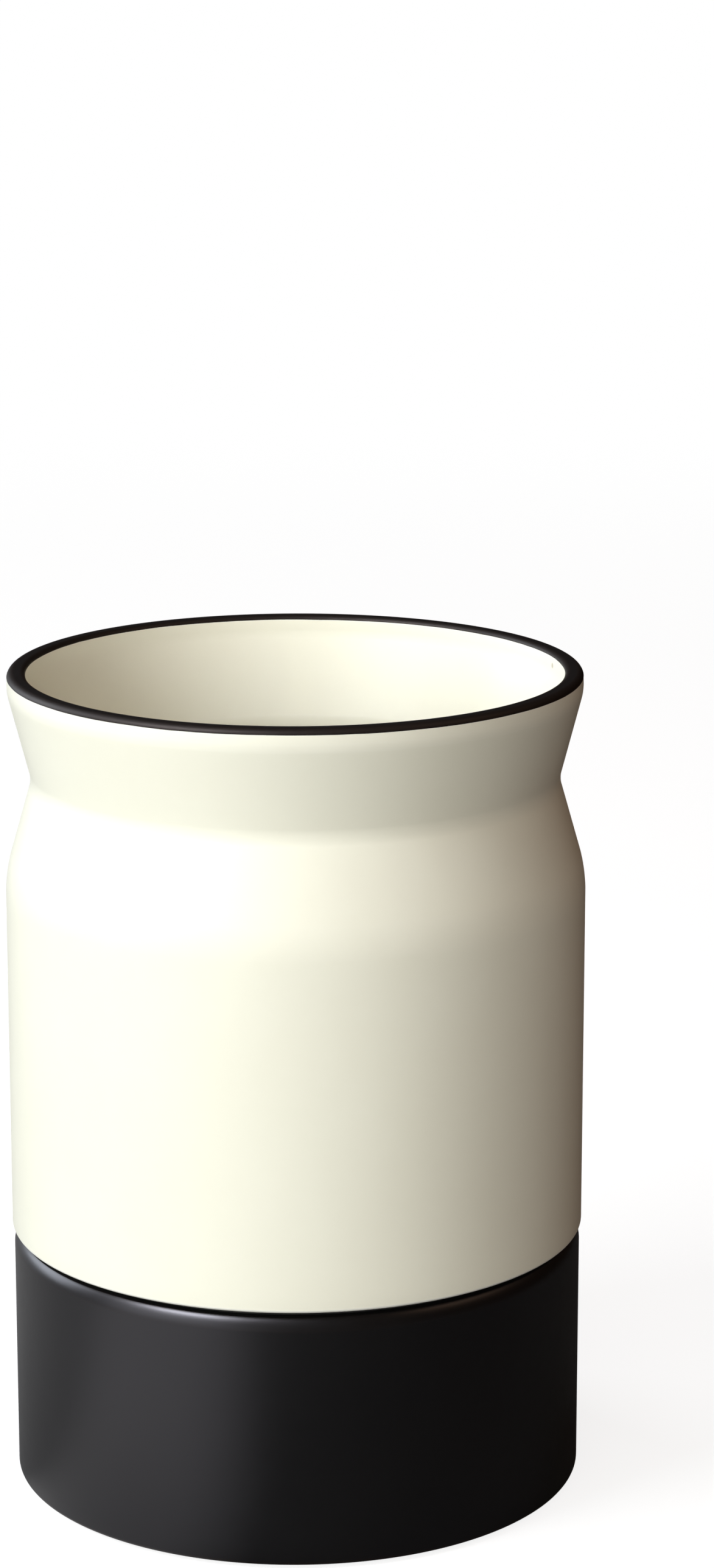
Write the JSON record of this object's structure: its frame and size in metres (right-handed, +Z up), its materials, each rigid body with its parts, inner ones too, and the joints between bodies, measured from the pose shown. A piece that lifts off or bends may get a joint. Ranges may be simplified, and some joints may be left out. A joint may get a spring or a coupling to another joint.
{
  "type": "utensil crock",
  "caption": "Flared round stoneware crock with a black lip that stands on, and lifts off, a separate black base cup.",
  "frame": {"origin": "middle of the surface that the base cup stands on, at the underside of its pads", "axes": "+Z up along the crock's axis, towards its mouth; -Y is the side that faces the picture's camera"},
  "size_m": [0.125, 0.125, 0.1798],
  "materials": {
    "cream_glaze": "satin cream glaze, a few fine iron specks",
    "black_glaze": "satin black glaze",
    "seat_rubber": "matte",
    "pad_rubber": "matte"
  },
  "bodies": {
    "base": {"base_cup": "black_glaze", "foot_pads": "pad_rubber"},
    "crock": {"crock_body": "cream_glaze", "lip_band": "black_glaze", "seat_ring": "seat_rubber"}
  },
  "joints": [
    {"name": "crock_lift", "type": "slide", "parent": "base", "child": "crock", "axis": [0, 0, 1], "range_m": [0, 0.1]}
  ]
}
